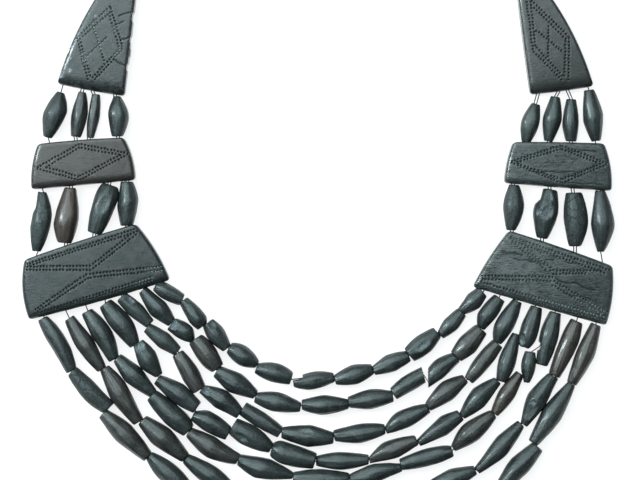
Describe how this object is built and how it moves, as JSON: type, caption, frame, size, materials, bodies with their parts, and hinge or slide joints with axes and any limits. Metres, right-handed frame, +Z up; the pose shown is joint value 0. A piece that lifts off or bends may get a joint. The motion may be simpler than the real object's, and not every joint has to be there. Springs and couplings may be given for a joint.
{
  "type": "jet bead necklace",
  "caption": "Crescent necklace laid flat: strands of drilled jet beads hang between drilled, dot-patterned jet plates, with a plain bead string and a barrel clasp behind the neck.",
  "frame": {"origin": "middle of the necklace's outline, at the height of the surface that it lies on", "axes": "+Y towards the back of the neck, +X towards the right of the picture, +Z up from the surface"},
  "size_m": [0.236, 0.2915, 0.0102],
  "materials": {
    "jet_plate": "satin",
    "jet_bead": "satin",
    "brown_jet": "satin",
    "thread": "matte"
  },
  "bodies": {
    "root": {"left_terminal_plate": "jet_plate", "left_upper_spacer": "jet_plate", "left_lower_spacer": "jet_plate", "right_terminal_plate": "jet_plate", "right_upper_spacer": "jet_plate", "right_lower_spacer": "jet_plate", "left_upper_bead_1": "jet_bead", "left_upper_bead_2": "jet_bead", "left_upper_bead_3": "jet_bead", "left_upper_bead_4": "jet_bead", "left_lower_bead_1": "jet_bead", "left_lower_bead_2": "brown_jet", "left_lower_bead_3": "jet_bead", "left_lower_bead_4": "jet_bead", "right_upper_bead_1": "jet_bead", "right_upper_bead_2": "jet_bead", "right_upper_bead_3": "jet_bead", "right_upper_bead_4": "jet_bead", "right_lower_bead_1": "jet_bead", "right_lower_bead_2": "jet_bead", "right_lower_bead_3": "jet_bead", "right_lower_bead_4": "jet_bead", "strand_1": "jet_bead", "strand_2": "jet_bead", "strand_3": "jet_bead", "strand_4": "jet_bead", "strand_5": "jet_bead", "strand_6": "jet_bead", "strand_7": "jet_bead", "thread_1": "thread", "thread_2": "thread", "thread_3": "thread", "thread_4": "thread", "thread_5": "thread", "thread_6": "thread", "thread_7": "thread", "back_string": "jet_bead", "back_thread": "thread", "clasp": "jet_bead"}
  },
  "joints": []
}
